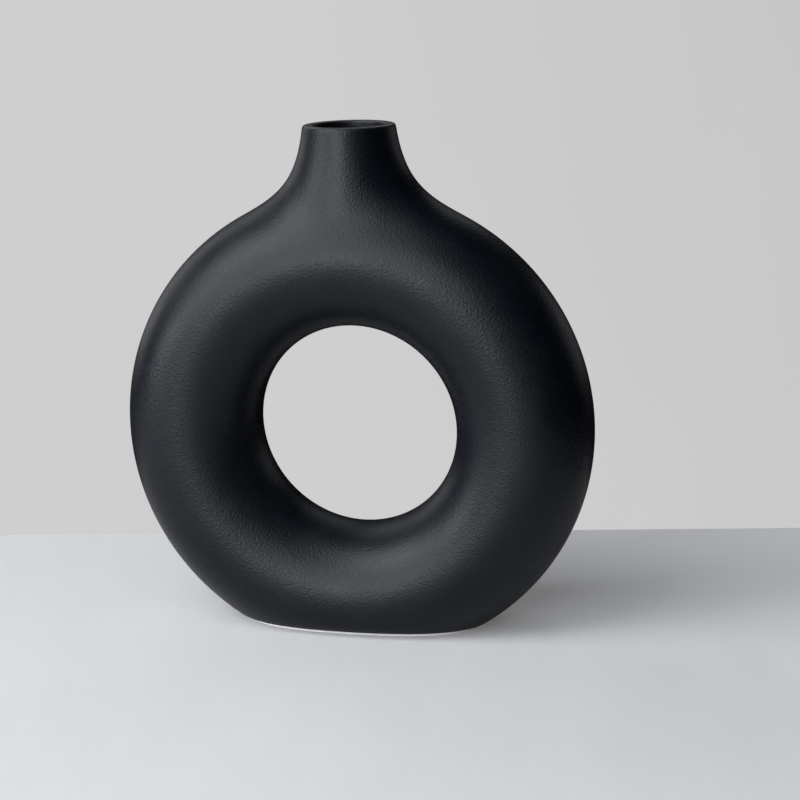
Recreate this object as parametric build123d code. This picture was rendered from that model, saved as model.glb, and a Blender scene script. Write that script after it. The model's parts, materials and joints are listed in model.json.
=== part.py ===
from build123d import *
import os
from math import atan2, cos, hypot, tan

# Donut vase: a hollow clay ring standing on edge, with a flared neck on top and a flat foot, glazed
# matte black. It is built up as a potter builds it: two pressed half shells, a collar for the neck and
# a base slab are luted together with slip, then glazed inside and out. The clay foot is left bare.
# Frame: origin in the middle of the foot on the table, +Z up, the hole runs along Y. Millimetres.

# Overall shape, measured on the finished glaze
ring_radius = 71.5
tube_radius = 28.5
neck_rise = 26.0
mouth_radius = 14.8
lip_width = 4.4
neck_root_share = 0.9
shoulder_radius = 40.0
flattened_depth = 15.5
foot_height = 1.5
foot_rounding = 6.0
bare_foot_share = 0.99

# Layers of the wall
glaze_thickness = 0.4
clay_wall = 5.0
liner_thickness = 0.4
slip_thickness = 0.6

# Edges
lip_outer_round = 1.4
lip_inner_round = 1.0
foot_edge_round = 0.4

# Where the clay pieces meet, and where the two glazes meet
neck_joint_above_crown = 1.5
glaze_line_depth = 5.0

# How far a cutting tool runs past what it cuts, and how close counts as level
overrun = 10.0
level_tolerance = 0.005

# The ring stands on its flattened bottom, and the lip stands above its crown
ring_centre_height = foot_height + ring_radius + tube_radius - flattened_depth
neck_root_height = ring_centre_height + ring_radius
crown_height = neck_root_height + tube_radius
vase_height = crown_height + neck_rise
reach = vase_height + overrun

neck_top_radius = mouth_radius + lip_width
neck_root_radius = tube_radius * neck_root_share
neck_taper = atan2(neck_root_radius - neck_top_radius, vase_height - neck_root_height)

# How deep each layer lies under the finished surface
clay_depth = glaze_thickness
mid_wall_depth = clay_depth + clay_wall / 2
clay_hollow_depth = clay_depth + clay_wall
water_depth = clay_hollow_depth + liner_thickness

clay_throat_radius = mouth_radius + liner_thickness
clay_lip_height = vase_height - glaze_thickness
floor_height = foot_height + clay_hollow_depth
neck_joint_height = crown_height + neck_joint_above_crown
glaze_line_height = vase_height - glaze_line_depth


def between(low, high):
    """A block that holds everything between two heights."""
    return Pos(0, 0, (low + high) / 2) * Box(2 * reach, 2 * reach, high - low)


def seam_block(low, high):
    """A block that holds the middle plane's slip between two heights."""
    return Pos(0, 0, (low + high) / 2) * Box(2 * reach, slip_thickness, high - low)


def level_edges(solid, height):
    """The edges of a solid that lie at one height all along."""
    shares = (0, 0.25, 0.5, 0.75, 1)
    return [
        edge
        for edge in solid.edges()
        if all(abs(edge.position_at(share).Z - height) < level_tolerance for share in shares)
    ]


def vessel(depth, top):
    """The vase filled solid and shrunk by a depth: ring, tapered neck, rolled shoulder, flat bottom."""
    ring = Pos(0, 0, ring_centre_height) * Rot(90, 0, 0) * Torus(ring_radius, tube_radius - depth)
    neck_length = reach - neck_root_height
    root_radius = neck_root_radius - depth / cos(neck_taper)
    end_radius = root_radius - neck_length * tan(neck_taper)
    neck = Pos(0, 0, neck_root_height + neck_length / 2) * Cone(root_radius, end_radius, neck_length)
    filled = ring + neck
    shoulder_edges = [edge for edge in filled.edges() if edge.geom_type == GeomType.BSPLINE]
    filled = filled.fillet(shoulder_radius + depth, shoulder_edges)
    return filled & between(foot_height + depth, top)


def rounded_base(solid, depth):
    """Rounds the edge of the flat bottom, less as the layer lies deeper."""
    return solid.fillet(foot_rounding - depth, level_edges(solid, foot_height + depth))


def hollow(depth, throat_radius):
    """The space inside the wall at a depth, open through a straight throat."""
    throat_length = reach - neck_root_height
    throat = Pos(0, 0, neck_root_height + throat_length / 2) * Cylinder(throat_radius, throat_length)
    return vessel(depth, reach) + throat


def rounded_lip(solid, depth):
    """Rounds the lip's outer and inner edges, less as the layer lies deeper."""
    lip_middle = mouth_radius + lip_width / 2
    for outer, radius in ((True, lip_outer_round), (False, lip_inner_round)):
        rim = []
        for edge in level_edges(solid, vase_height - depth):
            point = edge.position_at(0)
            if (hypot(point.X, point.Y) > lip_middle) == outer:
                rim.append(edge)
        solid = solid.fillet(radius - depth, rim)
    return solid


def foot_pad(outside):
    """The bare foot: the flat of the finished bottom, drawn in a little, from the table up into the clay."""
    flat = Pos(0, 0, -foot_height) * outside.faces().sort_by(Axis.Z)[0]
    pad = extrude(flat, amount=foot_height + mid_wall_depth, dir=(0, 0, 1))
    return scale(pad.fillet(foot_edge_round, level_edges(pad, 0)), by=bare_foot_share)


outside = rounded_base(vessel(0, vase_height), 0)
coated = rounded_lip(outside - hollow(water_depth, mouth_radius), 0)

clay = rounded_base(vessel(clay_depth, clay_lip_height), clay_depth)
clay = rounded_lip(clay - hollow(clay_hollow_depth, clay_throat_radius), clay_depth)
clay = clay + foot_pad(outside)

glaze = coated - clay
inside = vessel(mid_wall_depth, vase_height) & between(0, glaze_line_height)

seam_bottom = floor_height + slip_thickness
seam_top = neck_joint_height - slip_thickness
ring_clay = clay & between(seam_bottom, seam_top)
seam = seam_block(seam_bottom, seam_top)
halves = (ring_clay - seam).solids().sort_by(Axis.Y)

parts = {
    "front_half": halves[0],
    "back_half": halves[-1],
    "neck_collar": clay & between(neck_joint_height, vase_height),
    "base_slab": clay & between(-overrun, floor_height),
    "ring_joint_slip": ring_clay & seam,
    "neck_joint_slip": clay & between(seam_top, neck_joint_height),
    "base_joint_slip": clay & between(floor_height, seam_bottom),
    "outer_glaze": glaze - inside,
    "liner_glaze": glaze & inside,
}

os.makedirs("parts", exist_ok=True)
for name, piece in parts.items():
    print(name, piece.is_valid, len(piece.solids()), round(piece.volume))
    export_step(piece, f"parts/{name}.step")
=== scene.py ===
import json
from math import cos, pi, radians, sin

import bmesh
import bpy
import numpy as np
from mathutils import Matrix, Vector


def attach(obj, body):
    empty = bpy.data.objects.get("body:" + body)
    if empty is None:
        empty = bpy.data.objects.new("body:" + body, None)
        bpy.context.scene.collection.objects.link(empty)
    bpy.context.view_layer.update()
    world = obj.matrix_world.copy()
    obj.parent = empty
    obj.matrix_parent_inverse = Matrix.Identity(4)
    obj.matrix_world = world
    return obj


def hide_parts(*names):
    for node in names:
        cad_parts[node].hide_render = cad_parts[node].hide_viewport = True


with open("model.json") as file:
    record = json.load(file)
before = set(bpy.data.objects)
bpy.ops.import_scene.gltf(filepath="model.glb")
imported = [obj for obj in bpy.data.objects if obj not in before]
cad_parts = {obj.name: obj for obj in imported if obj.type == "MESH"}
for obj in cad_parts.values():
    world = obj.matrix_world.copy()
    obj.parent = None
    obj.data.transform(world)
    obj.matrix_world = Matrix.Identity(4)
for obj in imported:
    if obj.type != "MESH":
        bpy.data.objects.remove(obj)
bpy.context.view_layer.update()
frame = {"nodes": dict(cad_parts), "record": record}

# Donut vase in matte black glaze with a bare clay foot. Metres, +Z up, the hole runs along Y.

# Camera, at the photograph's angle. The picture is square, this many pixels wide.
picture_width_px = 800
focal_length_px = 1979.66
sensor_width_mm = 36.0
camera_azimuth = radians(13.64)
camera_elevation = radians(13.35)
camera_roll = radians(-1.49)
camera_distance = 0.82725
camera_target = Vector((0.01841, 0.0, 0.09711))

# The vase's shape, as in the CAD model
ring_radius = 0.0715
tube_radius = 0.0285
flattened_depth = 0.0155
neck_rise = 0.026
mouth_radius = 0.0148
foot_height = 0.0015
glaze_thickness = 0.0004
glaze_line_depth = 0.005
ring_centre_height = foot_height + ring_radius + tube_radius - flattened_depth
neck_root_height = ring_centre_height + ring_radius
lip_height = neck_root_height + tube_radius + neck_rise
glaze_line_height = lip_height - glaze_line_depth

# The glaze's own skin: the neck is a little oval, and runs into the ring in one soft curve
neck_side_radius_at_root = 0.0184
neck_side_radius_at_lip = 0.0180
neck_front_radius_at_root = 0.0221
neck_front_radius_at_lip = 0.01935
shoulder_reach = 0.0621
shoulder_start = 0.012
foot_softness = 0.0095
lip_outer_softness = 0.0019
lip_inner_softness = 0.0015
foot_overlap = 0.0015

# The cage that the skin is grown from, and where the neck's loops start: height and radius
cage_ring_steps = 48
cage_tube_steps = 16
neck_half_steps = 2
refinements = 3
neck_loops = [
    (0.190, 0.0205),
    (0.200, 0.0195),
    (0.207, 0.0192),
    (0.2104, 0.0190),
    (lip_height, 0.0177),
    (lip_height, 0.0159),
    (0.2109, mouth_radius),
    (glaze_line_height, mouth_radius),
]

# How points are settled on the skin
settling_rounds = 8
slope_step = 1e-5
least_steepness = 0.1
level_tolerance = 2e-6
smallest = 1e-9

# Stage
table_behind = 0.125
table_left = 0.85
table_front = 0.80
table_right = 0.27
table_turn = radians(10.4)
wall_colour = (0.628, 0.624, 0.627)
# Painted shade on the wall: darker toward the right and toward the top
wall_shade = (0.558, 0.558, 0.568)
wall_shade_rise = 0.35
wall_shade_from = -0.10
wall_shade_to = 0.22
wall_fold_scale = 22.0
wall_fold_stretch = 0.3
wall_fold_strength = 0.08
table_colour = (0.556, 0.556, 0.559)
table_shade = (0.537, 0.537, 0.543)
# Painted light: a glow seen only by the camera, which lightens the table and the vase's cast shadow on it
table_painted_glow = 0.192
crease_depth = 0.0012
weave_depth = 0.00006

# Glaze: colours, and the size and depth of its grain
glaze_colour = (0.0010, 0.0018, 0.0040)
glaze_pale_colour = (0.0020, 0.0029, 0.0050)
# Thinner glaze on the lip's top, and painted light there: the top is painted paler, as if lit from above
thin_lip_and_painted_light_colour = (0.050, 0.049, 0.048)
glaze_tint = (0.96, 0.965, 1.0)
glaze_roughness = 0.41
glaze_specular = 0.31
grain_scale = 1100.0
grain_depth = 0.00008
wrinkle_scale = 1500.0
wrinkle_stretch = 0.45
wrinkle_depth = 0.000034
patch_scale = 45.0
speck_scale = 900.0
unevenness_scale = 30.0
unevenness_depth = 0.00025
roughness_spread = 0.03
# How far down from the lip, and how strongly, the thin glaze and the painted light reach
thin_lip_and_painted_light_height = 0.0006
thin_lip_and_painted_light_share = 0.8

# Liner and bare clay
liner_colour = (0.003, 0.003, 0.004)
liner_pale_colour = (0.007, 0.007, 0.008)
ripple_depth = 0.0001
foot_colour = (0.90, 0.89, 0.87)
foot_shade = (0.85, 0.835, 0.81)
slip_colour = (0.72, 0.70, 0.67)
slip_shade = (0.66, 0.63, 0.60)
grit_colour = (0.45, 0.41, 0.36)
clay_cloud_depth = 0.0001
grit_depth = 0.00005

# Soft lamps: azimuth from the front, elevation, width, height and power
daylight_tint = (0.94, 0.965, 1.0)
lamp_distance = 1.5
lamp_target = Vector((0.0, 0.0, 0.1))
lamps = {
    "window_side": (-60.0, 38.0, 0.75, 0.75, 9.2),
    "window_front": (-34.0, 34.0, 0.80, 0.80, 8.3),
    "window_top": (-40.0, 60.0, 0.75, 0.60, 5.0),
    "low_front": (-17.0, 6.0, 0.80, 0.40, 9.2),
    "low_side": (-58.0, 9.0, 0.80, 0.45, 7.2),
    "front": (0.0, 27.0, 0.80, 0.75, 5.6),
    "side_back": (-120.0, 13.0, 0.75, 0.75, 2.2),
    "high_back": (-135.0, 40.0, 0.75, 0.75, 2.2),
    "back": (180.0, 36.0, 0.75, 0.75, 1.0),
    "overhead": (0.0, 68.0, 0.75, 0.75, 1.8),
    "right_back": (142.0, 9.0, 0.75, 0.50, 0.6),
}


def bearing(azimuth, elevation):
    """The direction toward something at an azimuth from the front and an elevation."""
    return Vector((
        sin(azimuth) * cos(elevation),
        -cos(azimuth) * cos(elevation),
        sin(elevation),
    ))


def make_camera():
    """The camera looks at the target from its azimuth and elevation, a little rolled."""
    toward_camera = bearing(camera_azimuth, camera_elevation)
    right = Vector((cos(camera_azimuth), sin(camera_azimuth), 0.0))
    up = toward_camera.cross(right)
    rolled_right = cos(camera_roll) * right + sin(camera_roll) * up
    rolled_up = cos(camera_roll) * up - sin(camera_roll) * right
    data = bpy.data.cameras.new("camera")
    data.sensor_width = sensor_width_mm
    data.lens = focal_length_px / picture_width_px * sensor_width_mm
    camera = bpy.data.objects.new("camera", data)
    axes = Matrix((rolled_right, rolled_up, toward_camera)).transposed()
    place = camera_target + camera_distance * toward_camera
    camera.matrix_world = Matrix.Translation(place) @ axes.to_4x4()
    bpy.context.scene.collection.objects.link(camera)
    bpy.context.scene.camera = camera


def ring_distance(points):
    """How far each point lies outside the ring, and the direction away from it."""
    x, y, z = points.T
    rise = z - ring_centre_height
    from_centre = np.hypot(x, rise)
    from_ring = from_centre - ring_radius
    from_tube = np.hypot(from_ring, y)
    away = np.stack([from_ring * x / from_centre, y, from_ring * rise / from_centre], axis=1)
    return from_tube - tube_radius, away / from_tube[:, None]


def neck_distance(points):
    """How far each point lies outside the oval, tapered neck, and the direction away from it."""
    x, y, z = points.T
    from_axis = np.maximum(np.hypot(x, y), smallest)
    sideways = (x / from_axis) ** 2
    height = lip_height - neck_root_height
    side_slope = (neck_side_radius_at_root - neck_side_radius_at_lip) / height
    front_slope = (neck_front_radius_at_root - neck_front_radius_at_lip) / height
    slope = sideways * side_slope + (1.0 - sideways) * front_slope
    radius_at_lip = sideways * neck_side_radius_at_lip + (1.0 - sideways) * neck_front_radius_at_lip
    radius = radius_at_lip + slope * (lip_height - z)
    tilt = np.arctan(slope)
    distance = (from_axis - radius) * np.cos(tilt)
    away = np.stack([np.cos(tilt) * x / from_axis, np.cos(tilt) * y / from_axis, np.sin(tilt)], axis=1)
    return distance, away


def rounding(first, second, reach):
    """How much two distances round each other off where both are about equal."""
    overlap = np.maximum(reach - np.abs(first - second), 0.0)
    return overlap ** 3 / (6.0 * reach ** 2 + smallest ** 2)


def skin_distance(points):
    """How far each point lies outside the finished skin of the glaze."""
    x, y, z = points.T
    ring, ring_away = ring_distance(points)
    neck, neck_away = neck_distance(points)
    share = np.clip((z - neck_root_height) / shoulder_start, 0.0, 1.0)
    share = share * share * (3.0 - 2.0 * share)
    reach = shoulder_reach * share * (1.0 - (ring_away * neck_away).sum(axis=1))
    neck = np.maximum(neck, neck_root_height - z)
    skin = np.minimum(ring, neck) - rounding(ring, neck, reach)

    below_foot = foot_height - z
    reach = foot_softness * (1.0 + ring_away[:, 2])
    skin = np.maximum(skin, below_foot) + rounding(skin, below_foot, reach)

    above_lip = z - lip_height
    skin = np.maximum(skin, above_lip) + rounding(skin, above_lip, lip_outer_softness)
    in_mouth = np.where(z > neck_root_height, mouth_radius - np.hypot(x, y), -1.0)
    return np.maximum(skin, in_mouth) + rounding(skin, in_mouth, lip_inner_softness)


def settle(points):
    """Moves points the shortest way onto the skin."""
    for _ in range(settling_rounds):
        slopes = []
        for axis in np.eye(3):
            step = slope_step * axis
            change = skin_distance(points + step) - skin_distance(points - step)
            slopes.append(change / (2.0 * slope_step))
        slope = np.stack(slopes, axis=1)
        steepness = np.maximum((slope ** 2).sum(axis=1), least_steepness)
        points = points - (skin_distance(points) / steepness)[:, None] * slope
    return points


def skin_cage():
    """A coarse quad cage: the ring's grid with a window on top, and the neck's loops grown from it."""
    crown = cage_ring_steps // 4
    points = []
    place = {}
    faces = []

    def in_window(i, j, half):
        return abs(i - crown) < half and min(j, cage_tube_steps - j) < half

    for i in range(cage_ring_steps):
        around = 2.0 * pi * i / cage_ring_steps
        for j in range(cage_tube_steps):
            if in_window(i, j, neck_half_steps):
                continue
            across = 2.0 * pi * j / cage_tube_steps
            radius = ring_radius + tube_radius * cos(across)
            place[i, j] = len(points)
            points.append((
                radius * cos(around),
                tube_radius * sin(across),
                ring_centre_height + radius * sin(around),
            ))
    for i in range(cage_ring_steps):
        for j in range(cage_tube_steps):
            corners = [(i, j), (i, j + 1), (i + 1, j + 1), (i + 1, j)]
            corners = [(a % cage_ring_steps, b % cage_tube_steps) for a, b in corners]
            beside = abs(i + 0.5 - crown) < neck_half_steps
            outward = min(j + 0.5, cage_tube_steps - j - 0.5) < neck_half_steps
            if beside and outward:
                continue
            faces.append([place[corner] for corner in corners])

    half = neck_half_steps
    sides = range(-half, half)
    window = [(crown - half, j) for j in sides]
    window += [(crown + i, half) for i in sides]
    window += [(crown + half, -j) for j in sides]
    window += [(crown - i, -half) for i in sides]
    loop = [place[i, j % cage_tube_steps] for i, j in window]

    count = len(loop)
    for height, radius in neck_loops:
        ring = []
        for k in range(count):
            turn = 2.0 * pi * k / count - pi / 4.0
            ring.append(len(points))
            points.append((radius * cos(turn), radius * sin(turn), height))
        for k in range(count):
            following = (k + 1) % count
            faces.append([loop[k], ring[k], ring[following], loop[following]])
        loop = ring
    return points, faces


def refined(mesh):
    """The mesh with one round of subdivision, its points settled on the skin."""
    piece = bpy.data.objects.new("cage", mesh)
    bpy.context.scene.collection.objects.link(piece)
    modifier = piece.modifiers.new("refine", "SUBSURF")
    modifier.levels = 1
    finer = bpy.data.meshes.new_from_object(piece.evaluated_get(bpy.context.evaluated_depsgraph_get()))
    bpy.data.objects.remove(piece)
    points = np.empty(3 * len(finer.vertices))
    finer.vertices.foreach_get("co", points)
    finer.vertices.foreach_set("co", settle(points.reshape(-1, 3)).ravel())
    finer.update()
    return finer


def in_foot(point):
    """Whether a point of the flat bottom lies well inside the bare foot."""
    below = np.array([[point.x, point.y, foot_height]])
    ring, away = ring_distance(below)
    flat_from = -foot_softness * (1.0 + away[0, 2])
    return point.z < foot_height + level_tolerance and ring[0] < flat_from - foot_overlap


def make_glaze(material):
    """The outer glaze: one skin over ring, neck, lip and throat, open round the bare foot."""
    points, faces = skin_cage()
    mesh = bpy.data.meshes.new("glaze_skin")
    mesh.from_pydata(settle(np.array(points)).tolist(), [], faces)
    for _ in range(refinements):
        mesh = refined(mesh)

    skin = bmesh.new()
    skin.from_mesh(mesh)
    hidden = [face for face in skin.faces if in_foot(face.calc_center_median())]
    bmesh.ops.delete(skin, geom=hidden, context="FACES")
    throat_end = [
        edge
        for edge in skin.edges
        if edge.is_boundary and edge.verts[0].co.z > neck_root_height
    ]
    folded = bmesh.ops.extrude_edge_only(skin, edges=throat_end)
    widening = (mouth_radius + glaze_thickness) / mouth_radius
    for vertex in folded["geom"]:
        if isinstance(vertex, bmesh.types.BMVert):
            vertex.co.x *= widening
            vertex.co.y *= widening
    bmesh.ops.recalc_face_normals(skin, faces=skin.faces)
    for face in skin.faces:
        face.smooth = True
    skin.to_mesh(mesh)
    skin.free()

    piece = bpy.data.objects.new("glaze_skin", mesh)
    bpy.context.scene.collection.objects.link(piece)
    mesh.materials.clear()
    mesh.materials.append(material)
    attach(piece, "root")
    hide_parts("outer_glaze")


class Nodes:
    """A small helper that adds and joins a material's nodes."""

    def __init__(self, tree):
        self.tree = tree
        self.tree.nodes.clear()

    def add(self, kind, **settings):
        node = self.tree.nodes.new(kind)
        for name, value in settings.items():
            if name in node.inputs:
                node.inputs[name].default_value = value
            else:
                setattr(node, name, value)
        return node

    def join(self, source, target):
        self.tree.links.new(source, target)


def new_material(name):
    """An empty material and its nodes."""
    material = bpy.data.materials.new(name)
    material.use_nodes = True
    return material, Nodes(material.node_tree)


def object_point(nodes, stretch):
    """The object's own coordinates, in metres, squeezed along each axis."""
    place = nodes.add("ShaderNodeTexCoord")
    mapping = nodes.add("ShaderNodeMapping")
    mapping.inputs["Scale"].default_value = stretch
    nodes.join(place.outputs["Object"], mapping.inputs["Vector"])
    return mapping.outputs["Vector"]


def noise(nodes, point, scale, detail, roughness):
    """Smooth noise, from 0 to 1."""
    texture = nodes.add("ShaderNodeTexNoise")
    texture.inputs["Scale"].default_value = scale
    texture.inputs["Detail"].default_value = detail
    texture.inputs["Roughness"].default_value = roughness
    nodes.join(point, texture.inputs["Vector"])
    return texture.outputs["Fac"]


def ramp(nodes, value, low, high, at_low, at_high):
    """Maps a value from one range to another, held at the ends."""
    node = nodes.add("ShaderNodeMapRange")
    node.inputs["From Min"].default_value = low
    node.inputs["From Max"].default_value = high
    node.inputs["To Min"].default_value = at_low
    node.inputs["To Max"].default_value = at_high
    nodes.join(value, node.inputs["Value"])
    return node.outputs["Result"]


def blend(nodes, share, first, second):
    """Mixes two colours, either of which may be a socket. The node's colour sockets go by number."""
    node = nodes.add("ShaderNodeMix", data_type="RGBA")
    nodes.join(share, node.inputs[0])
    for colour, socket in ((first, node.inputs[6]), (second, node.inputs[7])):
        if isinstance(colour, tuple):
            socket.default_value = (*colour, 1.0)
        else:
            nodes.join(colour, socket)
    return node.outputs[2]


def bumps(nodes, heights):
    """Stacks relief layers: each is a height from 0 to 1 and its depth in metres."""
    normal = None
    for height, depth in heights:
        bump = nodes.add("ShaderNodeBump")
        bump.inputs["Distance"].default_value = depth
        nodes.join(height, bump.inputs["Height"])
        if normal is not None:
            nodes.join(normal, bump.inputs["Normal"])
        normal = bump.outputs["Normal"]
    return normal


def finish_material(nodes, colour, roughness, normal, specular=0.5, tint=(1.0, 1.0, 1.0)):
    """Joins colour, roughness and relief to a shader with this much reflection, and that to the output."""
    shader = nodes.add("ShaderNodeBsdfPrincipled")
    shader.inputs["Specular Tint"].default_value = (*tint, 1.0)
    shader.inputs["Specular IOR Level"].default_value = specular
    nodes.join(colour, shader.inputs["Base Color"])
    nodes.join(roughness, shader.inputs["Roughness"])
    nodes.join(normal, shader.inputs["Normal"])
    output = nodes.add("ShaderNodeOutputMaterial")
    nodes.join(shader.outputs["BSDF"], output.inputs["Surface"])
    return shader


def black_glaze(name):
    """Matte black glaze with a fine leathery grain, thinner on the lip's edge, whose top is also painted
    paler as painted light from above.
    """
    material, nodes = new_material(name)
    point = object_point(nodes, (1.0, 1.0, 1.0))
    drawn = object_point(nodes, (1.0, 1.0, wrinkle_stretch))

    patches = noise(nodes, point, patch_scale, 3.0, 0.55)
    specks = noise(nodes, point, speck_scale, 2.0, 0.5)
    pebbles = nodes.add("ShaderNodeTexVoronoi", feature="SMOOTH_F1")
    pebbles.inputs["Scale"].default_value = grain_scale
    pebbles.inputs["Smoothness"].default_value = 0.6
    nodes.join(point, pebbles.inputs["Vector"])
    wrinkles = noise(nodes, drawn, wrinkle_scale, 3.0, 0.6)
    unevenness = noise(nodes, point, unevenness_scale, 2.0, 0.5)

    colour = blend(nodes, ramp(nodes, patches, 0.35, 0.65, 0.0, 1.0), glaze_colour, glaze_pale_colour)
    height = nodes.add("ShaderNodeSeparateXYZ")
    nodes.join(point, height.inputs["Vector"])
    # The lip's top: thinner glaze, plus painted light, a paler colour standing in for the light from above
    thin_lip_and_painted_light = ramp(nodes, height.outputs["Z"], lip_height - thin_lip_and_painted_light_height, lip_height, 0.0, thin_lip_and_painted_light_share)
    colour = blend(nodes, thin_lip_and_painted_light, colour, thin_lip_and_painted_light_colour)

    smoother = glaze_roughness - roughness_spread
    rougher = glaze_roughness + roughness_spread
    roughness = nodes.add("ShaderNodeMath", operation="ADD")
    nodes.join(ramp(nodes, patches, 0.3, 0.7, smoother, rougher), roughness.inputs[0])
    nodes.join(ramp(nodes, specks, 0.3, 0.7, -roughness_spread, roughness_spread), roughness.inputs[1])

    normal = bumps(nodes, [
        (unevenness, unevenness_depth),
        (pebbles.outputs["Distance"], grain_depth),
        (wrinkles, wrinkle_depth),
    ])
    finish_material(nodes, colour, roughness.outputs["Value"], normal, glaze_specular, glaze_tint)
    return material


def liner(name):
    """Satin black glaze inside the vase, without the outside's grain."""
    material, nodes = new_material(name)
    point = object_point(nodes, (1.0, 1.0, 1.0))
    clouds = noise(nodes, point, 60.0, 3.0, 0.5)
    ripples = noise(nodes, point, 180.0, 2.0, 0.5)
    colour = blend(nodes, clouds, liner_colour, liner_pale_colour)
    roughness = ramp(nodes, clouds, 0.3, 0.7, 0.42, 0.50)
    finish_material(nodes, colour, roughness, bumps(nodes, [(ripples, ripple_depth)]))
    return material


def fired_clay(name, colour, shade, roughness):
    """Bare fired clay: pale, dry and slightly sandy."""
    material, nodes = new_material(name)
    point = object_point(nodes, (1.0, 1.0, 1.0))
    clouds = noise(nodes, point, 90.0, 4.0, 0.6)
    grit = noise(nodes, point, 1800.0, 2.0, 0.6)
    tone = blend(nodes, ramp(nodes, clouds, 0.3, 0.7, 0.0, 1.0), colour, shade)
    tone = blend(nodes, ramp(nodes, grit, 0.62, 0.75, 0.0, 0.5), tone, grit_colour)
    rough = ramp(nodes, grit, 0.3, 0.7, roughness - 0.05, roughness + 0.08)
    normal = bumps(nodes, [(clouds, clay_cloud_depth), (grit, grit_depth)])
    finish_material(nodes, tone, rough, normal, 0.3)
    return material


def dress(node, material):
    """Gives a CAD piece its material."""
    slots = frame["nodes"][node].data.materials
    slots.clear()
    slots.append(material)


def make_table():
    """A pale table top with a straight far edge behind the vase, with a painted glow for the camera that
    lightens it and the vase's cast shadow.
    """
    corners = [
        (-table_left, -table_front, 0.0),
        (table_right, -table_front, 0.0),
        (table_right, table_behind, 0.0),
        (-table_left, table_behind, 0.0),
    ]
    mesh = bpy.data.meshes.new("table")
    mesh.from_pydata(corners, [], [(0, 1, 2, 3)])
    table = bpy.data.objects.new("table", mesh)
    table.rotation_euler.z = table_turn
    bpy.context.scene.collection.objects.link(table)
    material, nodes = new_material("table")
    point = object_point(nodes, (1.0, 1.0, 1.0))
    clouds = noise(nodes, point, 9.0, 3.0, 0.5)
    weave = noise(nodes, point, 700.0, 2.0, 0.6)
    creases = noise(nodes, object_point(nodes, (1.0, 0.35, 1.0)), 14.0, 4.0, 0.5)
    colour = blend(nodes, ramp(nodes, clouds, 0.3, 0.7, 0.0, 1.0), table_colour, table_shade)
    roughness = ramp(nodes, weave, 0.3, 0.7, 0.85, 0.95)
    normal = bumps(nodes, [(creases, crease_depth), (weave, weave_depth)])
    shader = finish_material(nodes, colour, roughness, normal, 0.2)
    # Painted light: the table glows for the camera alone, lightening it and the shadow cast on it
    path = nodes.add("ShaderNodeLightPath")
    nodes.join(colour, shader.inputs["Emission Color"])
    painted_glow = ramp(nodes, path.outputs["Is Camera Ray"], 0.0, 1.0, 0.0, table_painted_glow)
    nodes.join(painted_glow, shader.inputs["Emission Strength"])
    table.data.materials.append(material)


def make_world():
    """The wall's colour where the camera looks past the table, with painted shade darker toward the right
    and the top, and no light of its own elsewhere.
    """
    world = bpy.data.worlds.new("world")
    world.use_nodes = True
    bpy.context.scene.world = world
    nodes = Nodes(world.node_tree)
    path = nodes.add("ShaderNodeLightPath")
    direction = nodes.add("ShaderNodeTexCoord").outputs["Generated"]
    across = nodes.add("ShaderNodeVectorMath", operation="DOT_PRODUCT")
    across.inputs[1].default_value = (cos(camera_azimuth), sin(camera_azimuth), wall_shade_rise)
    nodes.join(direction, across.inputs[0])
    stretched = nodes.add("ShaderNodeMapping")
    stretched.inputs["Scale"].default_value = (1.0, 1.0, wall_fold_stretch)
    nodes.join(direction, stretched.inputs["Vector"])
    folds = noise(nodes, stretched.outputs["Vector"], wall_fold_scale, 2.0, 0.5)
    # Painted shade: the wall darkens toward the right and the top
    sideways = ramp(nodes, across.outputs["Value"], wall_shade_from, wall_shade_to, 0.0, 1.0)
    waving = ramp(nodes, folds, 0.3, 0.7, -wall_fold_strength, wall_fold_strength)
    shade = nodes.add("ShaderNodeMath", operation="ADD")
    nodes.join(sideways, shade.inputs[0])
    nodes.join(waving, shade.inputs[1])
    wall = nodes.add("ShaderNodeBackground")
    nodes.join(blend(nodes, shade.outputs["Value"], wall_colour, wall_shade), wall.inputs["Color"])
    dark = nodes.add("ShaderNodeBackground")
    dark.inputs["Strength"].default_value = 0.0
    mix = nodes.add("ShaderNodeMixShader")
    output = nodes.add("ShaderNodeOutputWorld")
    nodes.join(path.outputs["Is Camera Ray"], mix.inputs["Fac"])
    nodes.join(dark.outputs["Background"], mix.inputs[1])
    nodes.join(wall.outputs["Background"], mix.inputs[2])
    nodes.join(mix.outputs["Shader"], output.inputs["Surface"])


def soft_lamp(name, azimuth, elevation, width, height, power):
    """A soft box that faces the vase from its bearing."""
    data = bpy.data.lights.new(name, "AREA")
    data.shape = "RECTANGLE"
    data.size = width
    data.size_y = height
    data.energy = power
    data.color = daylight_tint
    lamp = bpy.data.objects.new(name, data)
    lamp.visible_camera = False
    toward = bearing(radians(azimuth), radians(elevation))
    lamp.location = lamp_target + lamp_distance * toward
    lamp.rotation_euler = toward.to_track_quat("Z", "Y").to_euler()
    bpy.context.scene.collection.objects.link(lamp)


outer = black_glaze("black_glaze")
finishes = {
    "outer_glaze": outer,
    "liner_glaze": liner("satin_liner"),
    "clay": fired_clay("bare_clay", foot_colour, foot_shade, 0.78),
    "slip": fired_clay("fired_slip", slip_colour, slip_shade, 0.82),
}
for subpart in frame["record"]["subparts"]:
    dress(subpart["node"], finishes[subpart["material_slot"]])
make_glaze(outer)

make_camera()
make_world()
make_table()
for name, setting in lamps.items():
    soft_lamp(name, *setting)

scene = bpy.context.scene
scene.view_settings.view_transform = "Standard"
